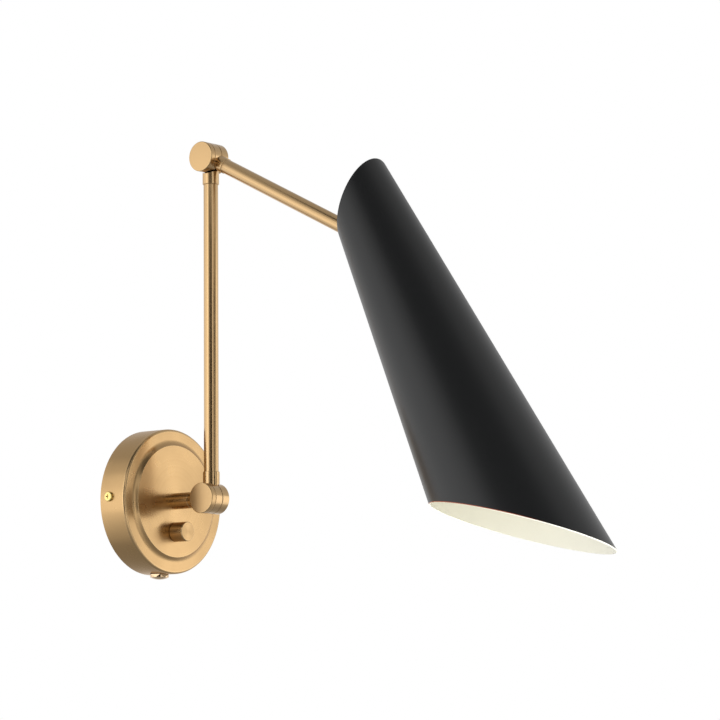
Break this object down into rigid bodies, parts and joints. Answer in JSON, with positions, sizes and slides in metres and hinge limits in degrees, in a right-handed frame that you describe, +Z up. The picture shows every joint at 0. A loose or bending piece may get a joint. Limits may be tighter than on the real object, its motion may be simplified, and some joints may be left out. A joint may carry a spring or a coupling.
{
  "type": "swing arm wall lamp",
  "caption": "Wall lamp with a round brass canopy and dimmer knob, a folding post and arm on friction knuckles, and a slanted black cone shade that tilts and swivels.",
  "frame": {"origin": "centre of the canopy on the wall plane, between the two wall screws", "axes": "+Z up, -Y out of the wall into the room, +X to the right for someone facing the wall"},
  "size_m": [0.1497, 0.4805, 0.36],
  "materials": {
    "satin_brass": "satin, circular and lengthwise brushing",
    "polished_brass": "polished",
    "black_paint": "satin black outside, warm white inside",
    "steel": "zinc plated",
    "earth_green": "green",
    "dark_fibre": "matte",
    "black_plastic": "matte",
    "connector_plastic": "matte",
    "wire_cover": "smooth"
  },
  "bodies": {
    "wall_mount": {"wall_bracket": "steel", "earth_screw": "earth_green", "canopy": "satin_brass", "canopy_side_screws": "polished_brass", "outlet_plug": "polished_brass", "outlet_nut": "polished_brass", "stem_nipple": "polished_brass", "stem_washer": "steel", "stem_nut": "polished_brass", "stem_sleeve": "satin_brass", "dimmer_body": "black_plastic", "dimmer_nut": "polished_brass", "wire_connectors": "connector_plastic", "dimmer_leads": "wire_cover", "canopy_leads": "wire_cover", "stem_knuckle": "satin_brass", "hub_pivot_screw": "steel", "hub_cap": "satin_brass", "hub_friction_washer": "dark_fibre", "hub_wave_washer": "steel"},
    "knob": {"switch_knob": "satin_brass", "dimmer_shaft": "polished_brass", "knob_set_screw": "steel"},
    "post": {"post_lower_knuckle": "satin_brass", "post_tube": "satin_brass", "post_upper_knuckle": "satin_brass", "post_leads": "wire_cover", "elbow_pivot_screw": "steel", "elbow_cap": "satin_brass", "elbow_friction_washer": "dark_fibre", "elbow_wave_washer": "steel"},
    "arm_head": {"arm_knuckle": "satin_brass", "elbow_leads": "wire_cover"},
    "arm": {"arm_tube": "satin_brass", "arm_swivel_screw": "steel", "arm_end_knuckle": "satin_brass", "arm_leads": "wire_cover", "tilt_pivot_screw": "steel", "tilt_cap": "satin_brass", "tilt_friction_washer": "dark_fibre", "tilt_wave_washer": "steel"},
    "shade": {"shade": "black_paint", "shade_knuckle": "satin_brass", "shade_bracket": "steel", "holder_nipple": "polished_brass", "holder_washer": "steel", "holder_nut": "polished_brass", "holder_cap": "steel", "holder_body": "black_plastic", "holder_screw_shell": "polished_brass", "holder_centre_contact": "polished_brass", "holder_terminal_screws": "polished_brass", "holder_leads": "wire_cover"}
  },
  "joints": [
    {"name": "post_fold", "type": "hinge", "parent": "wall_mount", "child": "post", "pos_m": [0, -0.0681, 0], "axis": [1, 0, 0], "range_deg": [-5, 60]},
    {"name": "arm_fold", "type": "hinge", "parent": "post", "child": "arm_head", "pos_m": [0, -0.0681, 0.2833], "axis": [1, 0, 0], "range_deg": [-90, 0]},
    {"name": "arm_swivel", "type": "hinge", "parent": "arm_head", "child": "arm", "pos_m": [0, -0.08943, 0.27229], "axis": [0, -0.8886, -0.4586], "range_deg": [-75, 100]},
    {"name": "shade_tilt", "type": "hinge", "parent": "arm", "child": "shade", "pos_m": [0, -0.25382, 0.18744], "axis": [0.9728, 0.1063, -0.2059], "range_deg": [-42, 5]},
    {"name": "knob_turn", "type": "hinge", "parent": "wall_mount", "child": "knob", "pos_m": [-0.00067, -0.036, -0.02559], "axis": [0, 1, 0], "range_deg": [0, 270]}
  ]
}
